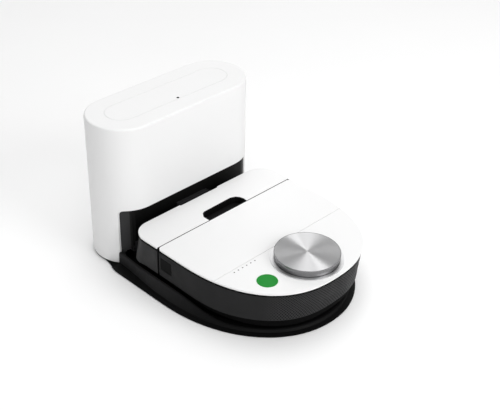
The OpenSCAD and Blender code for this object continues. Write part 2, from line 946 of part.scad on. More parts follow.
module dock_fan_housing() {
  color("#3b3e43")
  difference() {
    union() {
      disc(dock_fan_x, tower_y, 48, 205, 240);
      disc(dock_fan_x, tower_y, 32, deck_frame_z + 3, 206);
    }
    disc(dock_fan_x, tower_y, 45, 208, 237);
    disc(dock_fan_x, tower_y, 20, 236, 241);
    disc(dock_fan_x, tower_y, 4 + fit, 180, 209);
    box(dock_fan_x - 40, dock_fan_x - 8, tower_y + 20, tower_y + 60, 211, 234);
  }
}

module dock_impeller() {
  color("#9a9da1")
  union() {
    disc(dock_fan_x, tower_y, 41, 209.5, 212);
    disc(dock_fan_x, tower_y, 10, 211, 232);
    disc(dock_fan_x, tower_y, 4, 182, 210);
    for (a = [0:30:330])
      translate([dock_fan_x, tower_y, 211])
        rotate([0, 0, a])
          translate([8, 0, 0])
            rotate([0, 0, 18])
              cube([31, 1.6, 20]);
  }
}

module suction_duct() {
  color("#2c2e31")
  difference() {
    box(-port_x - 1, port_x + 1, pocket_y + 2.6, 166, port_z0 - 1, deck_frame_z);
    box(-port_x + 3, port_x - 3, pocket_y + 2, 162, port_z0 + 3, port_z1 - 3);
    box(-port_x + 3, port_x - 3, pocket_y + 6, 162, port_z0 + 3, deck_frame_z - 3);
    disc(0, 148, 14, deck_frame_z - 5, deck_frame_z + 1);
  }
}

module duct_seal() {
  color("#0f1011")
  difference() {
    union() {
      box(-port_x - 2, port_x + 2, robot_front - 3, pocket_y + 2.6, port_z0 - 2, port_z1 + 2);
      for (y = [112, 118, 124])
        box(-port_x - 4, port_x + 4, y, y + 3, port_z0 - 4, port_z1 + 4);
    }
    box(-port_x + 2, port_x - 2, robot_front - 4, pocket_y + 3, port_z0 + 2, port_z1 - 2);
  }
}

module charge_contacts() {
  color(brass)
  mirror_x()
    union() {
      box(contact_x - 4, contact_x + 4, robot_front - 11, 125, contact_z - 3, contact_z + 3);
      bar_y(contact_x, robot_front - 12.6, robot_front - 10, contact_z, 2.6);
    }
}

module power_supply() {
  color("#5b5e63")
  difference() {
    box(-128, -58, 150, 222, floor_z, 92);
    for (x = [-122:8:-66])
      box(x, x + 4, 149, 223, 82, 93);
  }
}

module power_inlet() {
  back = tower_y + tower_r;
  color("#1b1c1e")
  union() {
    difference() {
      box(84.2, 115.8, back - 20, back - 1, 20.2, 47.8);
      hull() {
        bar_y(94, back - 14, back + 6, 34, 5.4);
        bar_y(106, back - 14, back + 6, 34, 5.4);
      }
    }
    bar_y(95, back - 16, back - 4, 34, 1.3);
    bar_y(105, back - 16, back - 4, 34, 1.3);
  }
}

module rear_grille() {
  color("#e6e6e6")
  difference() {
    box(28.3, 105.7, tower_y + tower_r - 3, tower_y + tower_r, 150.3, 229.7);
    for (z = [156:8:222])
      box(34, 100, tower_y + tower_r - 4, tower_y + tower_r + 1, z, z + 4);
  }
}

centred() robot_chassis();
centred() side_band();
centred() exhaust_grille();
centred() side_sensor_windows();
centred() front_bumper();
centred() front_cap();
centred() bin_grip();
centred() dust_bin();
centred() bin_filter();
centred() bin_flap();
centred() main_cover();
centred() rear_cover();
centred() start_button();
centred() button_bezel();
centred() status_lights();
centred() lidar_flange();
centred() lidar_window();
centred() lidar_cap();
centred() lidar_base();
centred() lidar_rotor();
centred() lidar_pulley();
centred() lidar_motor();
centred() lidar_belt();
centred() left_wheel();
centred() left_tyre();
centred() right_wheel();
centred() right_tyre();
centred() left_wheel_arm();
centred() right_wheel_arm();
centred() roller_brush();
centred() brush_housing();
centred() brush_guard();
centred() brush_motor();
centred() side_brush();
centred() side_brush_motor();
centred() caster_fork();
centred() caster_wheel();
centred() fan_housing();
centred() fan_impeller();
centred() battery();
centred() main_board();
centred() charge_pads();
centred() robot_screws();
centred() base_tray();
centred() tray_rails();
centred() base_feet();
centred() tower_shell();
centred() tower_liner();
centred() tower_lid();
centred() lid_light();
centred() dock_frame();
centred() dust_bag();
centred() dock_fan_housing();
centred() dock_impeller();
centred() suction_duct();
centred() duct_seal();
centred() charge_contacts();
centred() power_supply();
centred() power_inlet();
centred() rear_grille();
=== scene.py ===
"""Looks of the robot vacuum and its dock: materials, finer meshes, camera and studio light."""
import json
import math

import bpy
from mathutils import Matrix, Vector


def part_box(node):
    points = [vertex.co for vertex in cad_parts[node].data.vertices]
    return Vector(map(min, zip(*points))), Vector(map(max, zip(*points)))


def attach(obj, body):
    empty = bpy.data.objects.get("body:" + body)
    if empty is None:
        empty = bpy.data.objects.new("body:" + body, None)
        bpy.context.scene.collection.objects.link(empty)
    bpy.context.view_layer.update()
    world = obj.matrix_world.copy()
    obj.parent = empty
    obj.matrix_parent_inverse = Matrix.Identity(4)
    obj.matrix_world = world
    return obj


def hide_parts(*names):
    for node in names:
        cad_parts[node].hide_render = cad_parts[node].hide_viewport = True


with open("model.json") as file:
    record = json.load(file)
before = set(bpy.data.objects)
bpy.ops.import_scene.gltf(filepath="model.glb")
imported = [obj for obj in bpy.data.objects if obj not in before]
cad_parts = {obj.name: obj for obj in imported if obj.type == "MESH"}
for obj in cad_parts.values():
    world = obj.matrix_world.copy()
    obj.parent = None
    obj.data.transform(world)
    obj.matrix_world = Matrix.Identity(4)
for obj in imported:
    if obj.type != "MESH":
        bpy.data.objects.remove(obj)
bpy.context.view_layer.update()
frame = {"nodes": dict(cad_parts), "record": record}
NODES = frame["nodes"]
MM = 0.001


# ---------------------------------------------------------------- materials, lengths in metres

# Rings of the turned metal
RING_SCALE = 300.0
# Holes of the band: pitch, half width of their zone, its soft edge and their depth. The holes are dents with
# painted shade in them
HOLE_PERIOD = 0.0058
HOLES_HALF = 0.125
HOLES_FADE = 0.02
HOLE_DEPTH = 0.0012
# Half width of the dock's recess, which is nearly black as painted shade
RECESS_HALF = 0.1467
# Tray rails: painted shade, black below this height, and darker up to this Y
RAIL_FOOT = 0.0068
RAIL_END = -0.13
RAIL_FADE = 0.17


def new_material(name):
    """Empty node material with its shader, output and object coordinates."""
    mat = bpy.data.materials.new(name)
    mat.use_nodes = True
    nodes = mat.node_tree.nodes
    nodes.clear()
    out = nodes.new("ShaderNodeOutputMaterial")
    shader = nodes.new("ShaderNodeBsdfPrincipled")
    coords = nodes.new("ShaderNodeTexCoord")
    mat.node_tree.links.new(shader.outputs["BSDF"], out.inputs["Surface"])
    return mat, shader, coords


def noise(mat, coords, scale, detail=3.0, stretch=None):
    """Noise texture in metres, stretched along the axes if asked."""
    tree = mat.node_tree
    texture = tree.nodes.new("ShaderNodeTexNoise")
    texture.inputs["Scale"].default_value = scale
    texture.inputs["Detail"].default_value = detail
    source = coords.outputs["Object"]
    if stretch:
        mapping = tree.nodes.new("ShaderNodeMapping")
        mapping.inputs["Scale"].default_value = stretch
        tree.links.new(source, mapping.inputs["Vector"])
        source = mapping.outputs["Vector"]
    tree.links.new(source, texture.inputs["Vector"])
    return texture.outputs["Fac"]


def spread(mat, value, low, high, start=0.3, end=0.7):
    """Value between start and end mapped to low and high."""
    node = mat.node_tree.nodes.new("ShaderNodeMapRange")
    node.inputs["From Min"].default_value = start
    node.inputs["From Max"].default_value = end
    node.inputs["To Min"].default_value = low
    node.inputs["To Max"].default_value = high
    mat.node_tree.links.new(value, node.inputs["Value"])
    return node.outputs["Result"]


def two_tone(mat, value, dark, light):
    """Colour between dark and light by value."""
    ramp = mat.node_tree.nodes.new("ShaderNodeValToRGB")
    ramp.color_ramp.elements[0].color = (*dark, 1)
    ramp.color_ramp.elements[1].color = (*light, 1)
    ramp.color_ramp.elements[0].position = 0.3
    ramp.color_ramp.elements[1].position = 0.7
    mat.node_tree.links.new(value, ramp.inputs["Fac"])
    return ramp.outputs["Color"]


def add_bump(mat, shader, height, strength, distance):
    """Bump of the shader's surface from a height value."""
    bump = mat.node_tree.nodes.new("ShaderNodeBump")
    bump.inputs["Strength"].default_value = strength
    bump.inputs["Distance"].default_value = distance
    mat.node_tree.links.new(height, bump.inputs["Height"])
    mat.node_tree.links.new(bump.outputs["Normal"], shader.inputs["Normal"])


def shade(colour, factor):
    """Colour made darker or lighter by a factor."""
    return tuple(min(1.0, c * factor) for c in colour)


def calculate(mat, operation, value, other=None):
    """Math node. other is a number or a second value."""
    node = mat.node_tree.nodes.new("ShaderNodeMath")
    node.operation = operation
    mat.node_tree.links.new(value, node.inputs[0])
    if isinstance(other, (int, float)):
        node.inputs[1].default_value = other
    elif other:
        mat.node_tree.links.new(other, node.inputs[1])
    return node.outputs[0]


def blend(mat, factor, colour, tone):
    """Colour that turns into tone where factor is 1."""
    node = mat.node_tree.nodes.new("ShaderNodeMix")
    node.data_type = "RGBA"
    mat.node_tree.links.new(factor, node.inputs["Factor"])
    mat.node_tree.links.new(colour, node.inputs["A"])
    node.inputs["B"].default_value = (*tone, 1)
    return node.outputs["Result"]


def parts_of(mat):
    """Shader and coordinates of a material made by new_material."""
    nodes = mat.node_tree.nodes
    shader = next(n for n in nodes if n.type == "BSDF_PRINCIPLED")
    coords = next(n for n in nodes if n.type == "TEX_COORD")
    return shader, coords


def split(mat, vector):
    """X, Y and Z of a vector."""
    node = mat.node_tree.nodes.new("ShaderNodeSeparateXYZ")
    mat.node_tree.links.new(vector, node.inputs[0])
    return node.outputs


def moulded(name, colour, rough, grain=900.0, bump=0.12, coat=0.0, variation=0.06, metallic=0.0,
            specular=0.5):
    """Moulded plastic: faint cloudiness, uneven gloss and a fine grain."""
    mat, shader, coords = new_material(name)
    link = mat.node_tree.links.new
    clouds = noise(mat, coords, 9.0)
    link(two_tone(mat, clouds, shade(colour, 1 - variation), shade(colour, 1 + variation)),
         shader.inputs["Base Color"])
    link(spread(mat, noise(mat, coords, 40.0), rough * 0.88, rough * 1.12), shader.inputs["Roughness"])
    add_bump(mat, shader, noise(mat, coords, grain, 2.0), bump, 0.00005)
    shader.inputs["Metallic"].default_value = metallic
    shader.inputs["Specular IOR Level"].default_value = specular
    shader.inputs["Coat Weight"].default_value = coat
    shader.inputs["Coat Roughness"].default_value = 0.08
    return mat


def turned_metal(name, colour, rough):
    """Metal turned on a lathe: fine rings and a stretched highlight."""
    mat, shader, coords = new_material(name)
    tree = mat.node_tree
    rings = tree.nodes.new("ShaderNodeTexWave")
    rings.wave_type = "RINGS"
    rings.rings_direction = "Z"
    rings.inputs["Scale"].default_value = RING_SCALE
    rings.inputs["Distortion"].default_value = 2.0
    rings.inputs["Detail"].default_value = 3.0
    tree.links.new(coords.outputs["Object"], rings.inputs["Vector"])
    tree.links.new(two_tone(mat, rings.outputs["Fac"], shade(colour, 0.9), shade(colour, 1.05)),
                   shader.inputs["Base Color"])
    gloss = spread(mat, rings.outputs["Fac"], rough * 0.8, rough * 1.2, 0, 1)
    tree.links.new(gloss, shader.inputs["Roughness"])
    shader.inputs["Metallic"].default_value = 1.0
    shader.inputs["Anisotropic"].default_value = 1.0
    shader.inputs["Anisotropic Rotation"].default_value = 0.25
    tangent = tree.nodes.new("ShaderNodeTangent")
    tangent.direction_type = "RADIAL"
    tangent.axis = "Z"
    tree.links.new(tangent.outputs["Tangent"], shader.inputs["Tangent"])
    return mat


def fleece(name, colour):
    """Soft fibrous sheet."""
    mat, shader, coords = new_material(name)
    fibres = noise(mat, coords, 700.0, 6.0, (1, 1, 0.35))
    mat.node_tree.links.new(two_tone(mat, fibres, shade(colour, 0.86), colour), shader.inputs["Base Color"])
    add_bump(mat, shader, fibres, 0.5, 0.0004)
    shader.inputs["Roughness"].default_value = 0.95
    shader.inputs["Sheen Weight"].default_value = 0.25
    return mat


def circuit_board(name):
    """Green lacquer with copper tracks."""
    mat, shader, coords = new_material(name)
    tree = mat.node_tree
    cells = tree.nodes.new("ShaderNodeTexVoronoi")
    cells.feature = "DISTANCE_TO_EDGE"
    cells.distance = "MANHATTAN"
    cells.inputs["Scale"].default_value = 160.0
    tree.links.new(coords.outputs["Object"], cells.inputs["Vector"])
    tracks = spread(mat, cells.outputs["Distance"], 1, 0, 0.03, 0.05)
    lacquer = two_tone(mat, tracks, (0.012, 0.10, 0.04), (0.03, 0.22, 0.09))
    tree.links.new(lacquer, shader.inputs["Base Color"])
    add_bump(mat, shader, tracks, 0.4, 0.0001)
    shader.inputs["Roughness"].default_value = 0.35
    return mat


MATERIALS = {
    "white_shell": moulded("white_shell", (0.80, 0.80, 0.80), 0.38, bump=0.02, coat=0.15, variation=0.006),
    "charcoal_plastic": moulded("charcoal_plastic", (0.010, 0.010, 0.0103), 0.5, bump=0.2, variation=0.1,
                                specular=0.25),
    "black_plastic": moulded("black_plastic", (0.004, 0.004, 0.0042), 0.5, bump=0.15, variation=0.1,
                             specular=0.15),
    "smoked_plastic": moulded("smoked_plastic", (0.0008, 0.0008, 0.0009), 0.4, bump=0.03, specular=0.04),
    "turned_metal": turned_metal("turned_metal", (0.66, 0.66, 0.665), 0.56),
    "green_button": moulded("green_button", (0.014, 0.235, 0.031), 0.55, bump=0.05, variation=0.03,
                            specular=0.12),
    "pale_ring": moulded("pale_ring", (0.72, 0.82, 0.73), 0.3, bump=0.03),
    "soft_rubber": moulded("soft_rubber", (0.012, 0.012, 0.013), 0.75, grain=500, bump=0.3),
    "tyre_rubber": moulded("tyre_rubber", (0.011, 0.011, 0.011), 0.8, grain=400, bump=0.4),
    "grey_plastic": moulded("grey_plastic", (0.10, 0.105, 0.11), 0.5, bump=0.25, variation=0.08),
    "light_grey_plastic": moulded("light_grey_plastic", (0.62, 0.63, 0.64), 0.38, bump=0.1, variation=0.03),
    "bright_steel": moulded("bright_steel", (0.55, 0.55, 0.56), 0.28, grain=1500, bump=0.1, metallic=1.0),
    "contact_brass": moulded("contact_brass", (0.75, 0.55, 0.22), 0.22, grain=1500, bump=0.1, metallic=1.0),
    "circuit_board": circuit_board("circuit_board"),
    "battery_film": moulded("battery_film", (0.02, 0.035, 0.08), 0.3, bump=0.1, coat=0.4),
    "brush_fins": moulded("brush_fins", (0.02, 0.11, 0.05), 0.6, grain=500, bump=0.3),
    "bag_fleece": fleece("bag_fleece", (0.74, 0.70, 0.60)),
    "filter_paper": fleece("filter_paper", (0.70, 0.66, 0.54)),
}


def perforated(name, colour, rough):
    """Charcoal plastic with fine staggered holes across the round end, made as dents with painted shade in
    them.
    """
    mat = moulded(name, colour, rough, bump=0.2, variation=0.1, specular=0.08)
    shader, coords = parts_of(mat)
    along = split(mat, coords.outputs["UV"])
    waves = [calculate(mat, "SINE", calculate(mat, "MULTIPLY", along[axis], 2 * math.pi / HOLE_PERIOD))
             for axis in ("X", "Y")]
    pattern = calculate(mat, "MULTIPLY", waves[0], waves[1])
    holes = spread(mat, pattern, 0, 1, 0.1, 0.3)
    aside = calculate(mat, "ABSOLUTE", split(mat, coords.outputs["Object"])["X"])
    zone = spread(mat, aside, 1, 0, HOLES_HALF - HOLES_FADE, HOLES_HALF)
    hole_dents_and_painted_shade = calculate(mat, "MULTIPLY", holes, zone)
    plain = shader.inputs["Base Color"].links[0].from_socket
    lighter = blend(mat, zone, plain, shade(colour, 2.1))
    link = mat.node_tree.links.new
    # Painted shade: the holes are coloured nearly black for the shade inside them
    link(blend(mat, hole_dents_and_painted_shade, lighter, (0.0003, 0.0003, 0.0003)), shader.inputs["Base Color"])
    dents = mat.node_tree.nodes.new("ShaderNodeBump")
    dents.invert = True
    dents.inputs["Strength"].default_value = 1.0
    dents.inputs["Distance"].default_value = HOLE_DEPTH
    link(hole_dents_and_painted_shade, dents.inputs["Height"])
    link(shader.inputs["Normal"].links[0].from_socket, dents.inputs["Normal"])
    link(dents.outputs["Normal"], shader.inputs["Normal"])
    return mat


def plastic_with_painted_shade(name, panel, painted_shade_tone, specular, axis, limit, end=None):
    """Charcoal plastic with painted shade: nearly black within limit of 0 along an axis and darker past an
    end in Y.
    """
    mat = moulded(name, panel, 0.52, bump=0.2, variation=0.08, specular=specular)
    shader, coords = parts_of(mat)
    place = split(mat, coords.outputs["Object"])
    zone = spread(mat, calculate(mat, "ABSOLUTE", place[axis]), 1, 0, limit - 0.0003, limit)
    colour = blend(mat, zone, shader.inputs["Base Color"].links[0].from_socket, painted_shade_tone)
    if end:
        # Painted shade: darker past the end towards -Y
        painted_shade_fade = spread(mat, place["Y"], 1, 0, end, end + RAIL_FADE)
        colour = blend(mat, painted_shade_fade, colour, shade(panel, 0.22))
    mat.node_tree.links.new(colour, shader.inputs["Base Color"])
    return mat


def paint(obj, mat):
    """Gives the object one material."""
    obj.data.materials.clear()
    obj.data.materials.append(mat)


def soften(obj, width, segments=3, angle=35.0):
    """Rounds the sharp edges a little and smooths the shading."""
    if width:
        bevel = obj.modifiers.new("edges", "BEVEL")
        bevel.width = width
        bevel.segments = segments
        bevel.limit_method = "ANGLE"
        bevel.angle_limit = math.radians(angle)
        bevel.harden_normals = False
    for polygon in obj.data.polygons:
        polygon.use_smooth = True
    obj.data.set_sharp_from_angle(angle=math.radians(angle))


PERFORATED = perforated("perforated_plastic", (0.0155, 0.0155, 0.016), 0.5)
# Painted shade: the liner is nearly black across the dock's recess
LINING = plastic_with_painted_shade("dock_lining", (0.024, 0.024, 0.025), (0.002, 0.002, 0.002), 0.22, "X", RECESS_HALF)
RING_METAL = moulded("ring_metal", (0.22, 0.22, 0.225), 0.28, grain=1500, bump=0.05, metallic=1.0)
# Painted shade: the rails are black at their foot and darker towards -Y past RAIL_END
RAIL_PLASTIC = plastic_with_painted_shade("rail_plastic", (0.0155, 0.0155, 0.016), (0.0024, 0.0024, 0.0025), 0.1, "Z", RAIL_FOOT,
                     RAIL_END)
FLANGE_METAL = moulded("flange_metal", (0.7, 0.7, 0.705), 0.42, grain=1500, bump=0.05, metallic=1.0)
# Painted shade: near-black plastic for the chassis, the base tray, the strip under the band and the seam's
# bottom, which lie in shade
PAINTED_SHADE_BLACK = moulded("painted_shade_black", (0.0012, 0.0012, 0.0013), 0.6, bump=0.2, variation=0.1, specular=0.05)
# Rounding of the edges, in millimetres
EDGE_WIDTHS = {"main_cover": 0.7, "rear_cover": 0.7, "front_cap": 0.7, "tower_shell": 0.4}
OTHER_EDGES = 0.3

slot_of = {row["node"]: row["material_slot"] for row in frame["record"]["subparts"]}
for node_name, node_object in NODES.items():
    paint(node_object, MATERIALS[slot_of[node_name]])
    soften(node_object, EDGE_WIDTHS.get(node_name, OTHER_EDGES) * MM, 2)
# Painted shade on the liner, rails, chassis and base tray; the lidar window and flange get their own metals
special_paint = {"tower_liner": LINING, "lidar_window": RING_METAL, "lidar_flange": FLANGE_METAL,
                 "tray_rails": RAIL_PLASTIC, "robot_chassis": PAINTED_SHADE_BLACK, "base_tray": PAINTED_SHADE_BLACK}
for node_name, special in special_paint.items():
    paint(NODES[node_name], special)


# ---------------------------------------------------------------- finer pieces, in millimetres of the frame

def mesh_object(name, points, faces, uvs=None):
    """Mesh object from points in millimetres, with one UV pair for each point if given."""
    mesh = bpy.data.meshes.new(name)
    mesh.from_pydata([tuple(c * MM for c in p) for p in points], [], faces)
    if uvs:
        layer = mesh.uv_layers.new(name="surface")
        for loop in mesh.loops:
            layer.data[loop.index].uv = uvs[loop.vertex_index]
    obj = bpy.data.objects.new(name, mesh)
    bpy.context.collection.objects.link(obj)
    return obj


def add_piece(obj, body, slot_name, mat=None, replaced=(), edge=0.0, angle=35.0):
    """Finishes a piece: material, rounded edges, the body it rides on and the nodes it stands for."""
    paint(obj, mat or MATERIALS[slot_name])
    soften(obj, edge * MM, 2, angle)
    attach(obj, body)
    if replaced:
        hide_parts(*replaced)
    return obj


def smooth_step(t):
    """0 to 1 with soft ends."""
    t = min(1.0, max(0.0, t))
    return t * t * (3 - 2 * t)


def round_end(half, y_side, y_tip, power, steps):
    """Squared round end from the left side to the right side."""
    points = []
    for i in range(steps + 1):
        c, s = -math.cos(math.pi * i / steps), math.sin(math.pi * i / steps)
        x = half * math.copysign(abs(c) ** (2 / power), c)
        points.append((x, y_side - (y_side - y_tip) * s ** (2 / power)))
    return points


def thicken(obj, thickness, side):
    """Gives a sheet its thickness in millimetres, on one side of its faces."""
    solid = obj.modifiers.new("thickness", "SOLIDIFY")
    solid.thickness = thickness * MM
    solid.offset = side


def wall(name, path, rows, inset, thickness, hole=None, sink=None):
    """Thin wall along path. inset and sink move a point inwards and down, and hole leaves a face out."""
    count = len(path)
    normals = []
    for i in range(count):
        a, b = path[max(i - 1, 0)], path[min(i + 1, count - 1)]
        dx, dy = b[0] - a[0], b[1] - a[1]
        length = math.hypot(dx, dy)
        normals.append((-dy / length, dx / length))
    run = [0.0]
    for a, b in zip(path, path[1:]):
        run.append(run[-1] + math.hypot(b[0] - a[0], b[1] - a[1]))
    points, uvs = [], []
    for z in rows:
        for i, (x, y) in enumerate(path):
            d = inset(i, z)
            lower = sink(i, z) if sink else 0
            points.append((x + normals[i][0] * d, y + normals[i][1] * d, z - lower))
            uvs.append((run[i] * MM, z * MM))
    faces = []
    for r in range(len(rows) - 1):
        for i in range(count - 1):
            middle = [(path[i][k] + path[i + 1][k]) / 2 for k in (0, 1)]
            if hole and hole(middle, rows[r], rows[r + 1]):
                continue
            a = r * count + i
            faces.append((a, a + 1, a + count + 1, a + count))
    obj = mesh_object(name, points, faces, uvs)
    thicken(obj, thickness, -1)
    return obj


# Robot's outline: half width, flat front, tip and start of the round end, and its squareness
ROBOT_HALF = 170.0
ROBOT_FRONT = 100.0
ROBOT_TIP = -251.0
END_Y = -36.0
END_POWER = 2.42
CORNER_RADIUS = 38.0
# Band and bumper: heights, wall, and how far they stay under the deck's edge
BAND_LOW = 42.5
BAND_TOP = 93.2
WALL = 3.0
DECK_OVERHANG = 1.2
# The band leans in and hangs lower towards the tip. Starts are measured from END_Y.
END_TAPER = 5.5
TAPER_START = 60.0
TAPER_RUN = 130.0
BAND_SINK = 4.0
SINK_START = -40.0
SINK_RUN = 150.0
# The bumper leans out at its foot over the last stretch before the flat front
FRONT_FLARE = 8.0
FLARE_START = 60.0
FLARE_RUN = 30.0
# Strip under the band, as shares of the outline
FLOOR_SCALES = (0.955, 0.9)
FLOOR_THICKNESS = 2.0
# Sensor windows and how deep their faces lie
WINDOW_Y = (-11.5, 17.5)
WINDOW_Z = (57.0, 83.0)
WINDOW_LAP = 1.0
PANE_DEPTHS = (4.0, 1.9)
# Opening of the bumper for the dust port
PORT_HALF = 39.0
PORT_LOW = 53.0
# Seam between the front cap and the main cover
SEAM_Y = 24.0
SEAM_HALF_GAP = 2.25
SEAM_SIDES = (-1.0, 0.9)
SEAM_FLOOR = 96.5
SEAM_TOP = 100.75
COVER_CORNER = 8.0
# Turret cap and rim, as (radius, height) points
TURRET_Y = -180.0
CAP_Z = 111.0
CAP_PROFILE = [(0, 0), (57.9, 0), (58.2, 0.3), (58.2, 4.7), (57.6, 5.0), (40, 5.2), (20, 5.4), (2, 5.5),
               (0, 5.5)]
RIM_PROFILE = [(58.3, 0.2), (59.0, 0.6), (59.1, 1.2), (59.1, 4.3), (58.9, 4.9), (58.3, 5.0)]


def make_band():
    """Side band with its perforated end, the strip under it in near-black painted shade and the two sensor
    windows.
    """
    side_ys = [SEAM_Y - SEAM_HALF_GAP, WINDOW_Y[1], 8, -3, WINDOW_Y[0], -25]
    left = [(-ROBOT_HALF, y) for y in side_ys]
    end = round_end(ROBOT_HALF, END_Y, ROBOT_TIP, END_POWER, 120)
    right = [(ROBOT_HALF, y) for y in reversed(side_ys)]
    path = left + end + right
    rows = [BAND_LOW, 50, WINDOW_Z[0], 65, 75, WINDOW_Z[1], 89, BAND_TOP]

    def inset(i, z):
        weight = smooth_step((END_Y - path[i][1] - TAPER_START) / TAPER_RUN)
        return DECK_OVERHANG + weight * END_TAPER * (BAND_TOP - z) / (BAND_TOP - BAND_LOW)

    def sink(i, z):
        weight = smooth_step((END_Y - path[i][1] - SINK_START) / SINK_RUN)
        return BAND_SINK * weight * max(0.0, (WINDOW_Z[0] - z) / (WINDOW_Z[0] - BAND_LOW))

    def hole(middle, z0, z1):
        return WINDOW_Y[0] < middle[1] < WINDOW_Y[1] and z0 >= WINDOW_Z[0] and z1 <= WINDOW_Z[1]

    band = wall("side_band_shell", path, rows, inset, WALL, hole, sink)
    add_piece(band, "robot", "charcoal_plastic", PERFORATED, ("side_band", "exhaust_grille"), 0.4)
    points = []
    for x, y in path:
        for scale in FLOOR_SCALES:
            shrink = scale if y < END_Y else 1
            points.append((x * scale, END_Y + (y - END_Y) * shrink, BAND_LOW + FLOOR_THICKNESS))
    faces = [(2 * i, 2 * i + 1, 2 * i + 3, 2 * i + 2) for i in range(len(path) - 1)]
    strip = mesh_object("band_floor", points, faces)
    thicken(strip, FLOOR_THICKNESS, 1)
    # Painted shade: the strip under the band is near-black
    add_piece(strip, "robot", "black_plastic", PAINTED_SHADE_BLACK)
    for side, label in ((-1, "left"), (1, "right")):
        x = sorted(side * (ROBOT_HALF - depth) for depth in PANE_DEPTHS)
        low = (x[0], WINDOW_Y[0] - WINDOW_LAP, WINDOW_Z[0] - WINDOW_LAP)
        high = (x[1], WINDOW_Y[1] + WINDOW_LAP, WINDOW_Z[1] + WINDOW_LAP)
        pane = box_object(label + "_sensor_window", low, high)
        add_piece(pane, "robot", "smoked_plastic", None, ("side_sensor_windows",) if side < 0 else (), 0.2)


def make_bumper():
    """Bumper whose front leans outwards at its foot, open at the dust port."""
    front_xs = [120, 100, 80, 60, PORT_HALF, 20, 0, -20, -PORT_HALF, -60, -80, -100, -120]
    centre_x = ROBOT_HALF - CORNER_RADIUS
    centre_y = ROBOT_FRONT - CORNER_RADIUS
    right = [(ROBOT_HALF, y) for y in (SEAM_Y + SEAM_HALF_GAP, 36, 48)]
    arc = [(math.cos(math.radians(a)), math.sin(math.radians(a))) for a in range(0, 91, 6)]
    right += [(centre_x + CORNER_RADIUS * c, centre_y + CORNER_RADIUS * s) for c, s in arc]
    path = right + [(x, ROBOT_FRONT) for x in front_xs] + [(-x, y) for x, y in reversed(right)]
    rows = [BAND_LOW, PORT_LOW, 60, 70, 80, 88, BAND_TOP]

    def inset(i, z):
        weight = smooth_step((path[i][1] - FLARE_START) / FLARE_RUN)
        return DECK_OVERHANG - weight * FRONT_FLARE * (BAND_TOP - z) / (BAND_TOP - BAND_LOW)

    def hole(middle, z0, z1):
        return abs(middle[0]) < PORT_HALF and middle[1] > 90 and z0 >= PORT_LOW

    bumper = wall("bumper_shell", path, rows, inset, WALL, hole)
    add_piece(bumper, "bumper", "charcoal_plastic", None, ("front_bumper",), 0.4)


def lathe(name, profile, segments=144):
    """Closed turned piece about its own Z axis, with its ends on the axis."""
    points = [(0, 0, profile[0][1]), (0, 0, profile[-1][1])]
    ring = profile[1:-1]
    for k in range(segments):
        c, s = math.cos(2 * math.pi * k / segments), math.sin(2 * math.pi * k / segments)
        points += [(r * c, r * s, z) for r, z in ring]
    n = len(ring)
    faces = []
    for k in range(segments):
        a, b = 2 + k * n, 2 + (k + 1) % segments * n
        faces.append((0, b, a))
        faces.append((1, a + n - 1, b + n - 1))
        faces += [(a + i, b + i, b + i + 1, a + i + 1) for i in range(n - 1)]
    return mesh_object(name, points, faces)


def turned_ring(name, profile, segments=144):
    """Ring about its own Z axis with a closed profile of (radius, height) points."""
    points = []
    for k in range(segments):
        c, s = math.cos(2 * math.pi * k / segments), math.sin(2 * math.pi * k / segments)
        points += [(r * c, r * s, z) for r, z in profile]
    n = len(profile)
    faces = []
    for k in range(segments):
        a, b = k * n, (k + 1) % segments * n
        faces += [(a + i, b + i, b + (i + 1) % n, a + (i + 1) % n) for i in range(n)]
    return mesh_object(name, points, faces)


def make_turret():
    """Turned cap and the darker rim round it."""
    place = Vector((0, TURRET_Y, CAP_Z)) * MM
    cap = lathe("turret_cap", CAP_PROFILE)
    cap.location = place
    add_piece(cap, "robot", "turned_metal", None, ("lidar_cap",), 0, 20)
    rim = turned_ring("turret_rim", RIM_PROFILE)
    rim.location = place
    add_piece(rim, "robot", "turned_metal", RING_METAL)


def box_object(name, low, high):
    """Box between two corners."""
    corners = [(x, y, z) for z in (low[2], high[2]) for y in (low[1], high[1]) for x in (low[0], high[0])]
    faces = [(0, 2, 3, 1), (4, 5, 7, 6), (0, 1, 5, 4), (2, 6, 7, 3), (0, 4, 6, 2), (1, 3, 7, 5)]
    return mesh_object(name, corners, faces)


def prism_object(name, outline, z0, z1):
    """Upright prism over an outline given anticlockwise."""
    n = len(outline)
    points = [(x, y, z0) for x, y in outline] + [(x, y, z1) for x, y in outline]
    faces = [tuple(reversed(range(n))), tuple(range(n, 2 * n))]
    faces += [(i, (i + 1) % n, n + (i + 1) % n, n + i) for i in range(n)]
    return mesh_object(name, points, faces)


def make_seam_strip():
    """Bottom of the seam between the front cap and the main cover, black as painted shade, with its two
    rounded corners.
    """
    inner, outer = (SEAM_Y + side for side in SEAM_SIDES)
    reach = ROBOT_HALF - COVER_CORNER
    edge = ROBOT_HALF - 1.0
    arc = [(reach + COVER_CORNER * math.sin(math.radians(a)),
            inner - COVER_CORNER + COVER_CORNER * math.cos(math.radians(a))) for a in range(0, 76, 15)]
    arc = [(min(x, edge), y) for x, y in arc]
    outline = [(-x, y) for x, y in arc] + [(-edge, arc[-1][1]), (-edge, outer)]
    outline += [(edge, outer), (edge, arc[-1][1])] + arc[::-1]
    strip = prism_object("seam_shade_strip", outline[::-1], SEAM_FLOOR, SEAM_TOP)
    # Painted shade: the seam's bottom is near-black
    add_piece(strip, "robot", "black_plastic", PAINTED_SHADE_BLACK)


# Dust bag: room for the collar, size before the air, most swelling, mesh size, air pressure, frames
BAG_LIFT = 3.0
BAG_SHRINK = 0.9
BAG_SWELL = 9.0
BAG_VOXEL = 5.0
BAG_PRESSURE = 4.0
BAG_FRAMES = 20
# Card collar round the dock's duct
COLLAR_Y = 142.0
COLLAR_PROFILE = [(14.2, 0), (22, 0), (22, 1.6), (19, 1.6), (17.5, 6), (14.2, 6)]


